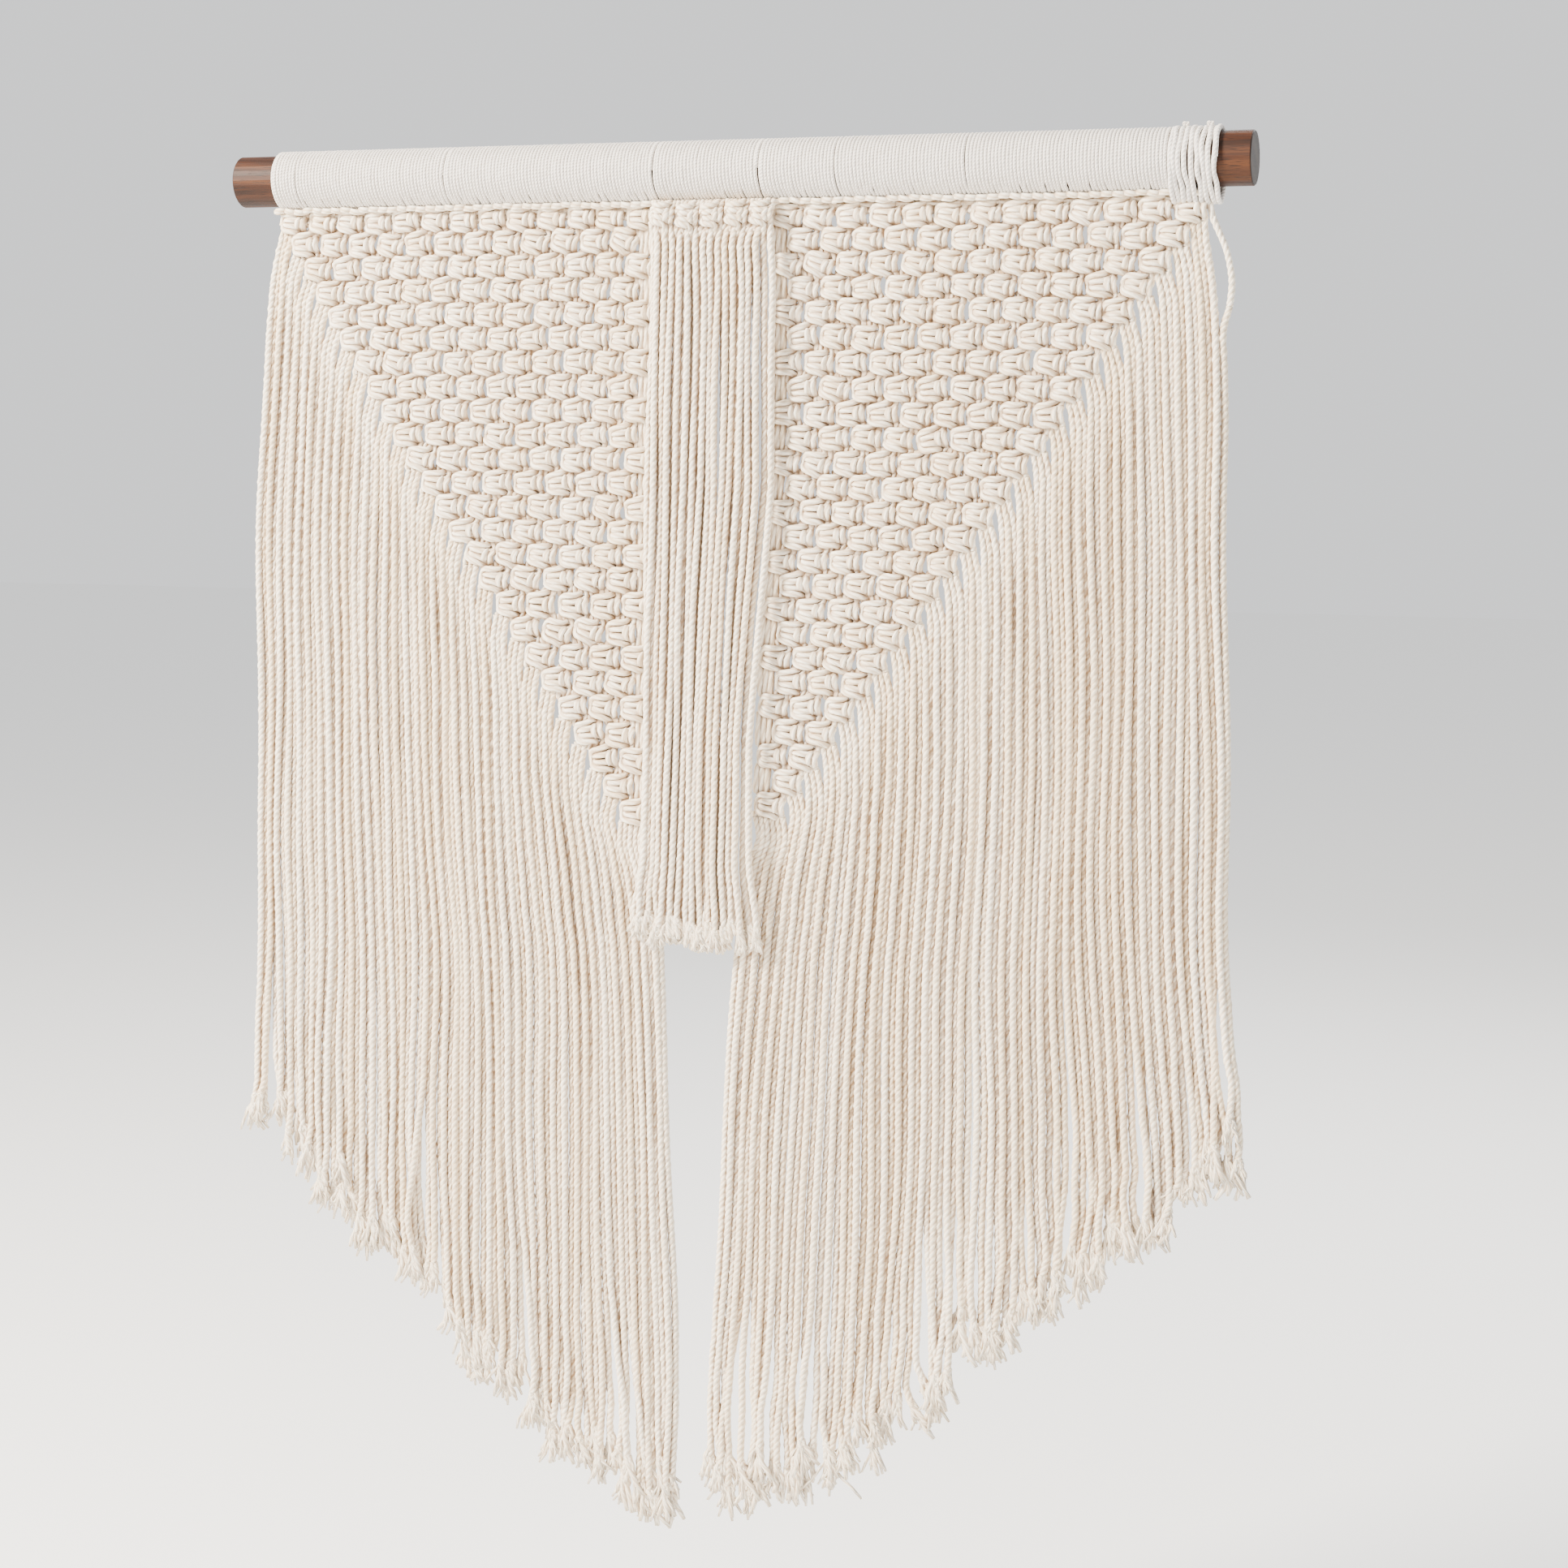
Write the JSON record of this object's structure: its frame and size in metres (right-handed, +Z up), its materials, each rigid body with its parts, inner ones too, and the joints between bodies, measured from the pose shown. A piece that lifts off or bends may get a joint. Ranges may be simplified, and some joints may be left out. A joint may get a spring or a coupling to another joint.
{
  "type": "macrame wall hanging on a wooden dowel",
  "caption": "Cotton macrame wall hanging: a cord-wrapped wooden dowel, stepped triangular nets of square knots, long pointed fringes and a shorter fringe in the middle.",
  "frame": {"origin": "middle of the dowel's axis, which is where the wall holds the hanging", "axes": "+Z up, +X to the right as the front is looked at, -Y out of the front; the wall is on the +Y side"},
  "size_m": [0.7532, 0.0428, 0.9769],
  "materials": {
    "walnut": "oiled, satin",
    "cotton": "matt",
    "wrapping_cord": "matt"
  },
  "bodies": {
    "root": {"dowel": "walnut", "wrap_outer_left": "wrapping_cord", "wrap_left": "wrapping_cord", "wrap_centre": "wrapping_cord", "wrap_right": "wrapping_cord", "wrap_loose": "wrapping_cord", "heading": "cotton", "net_left": "cotton", "net_right": "cotton", "fringe_left": "cotton", "fringe_right": "cotton", "fringe_centre": "cotton", "slack_cord": "cotton"}
  },
  "joints": []
}
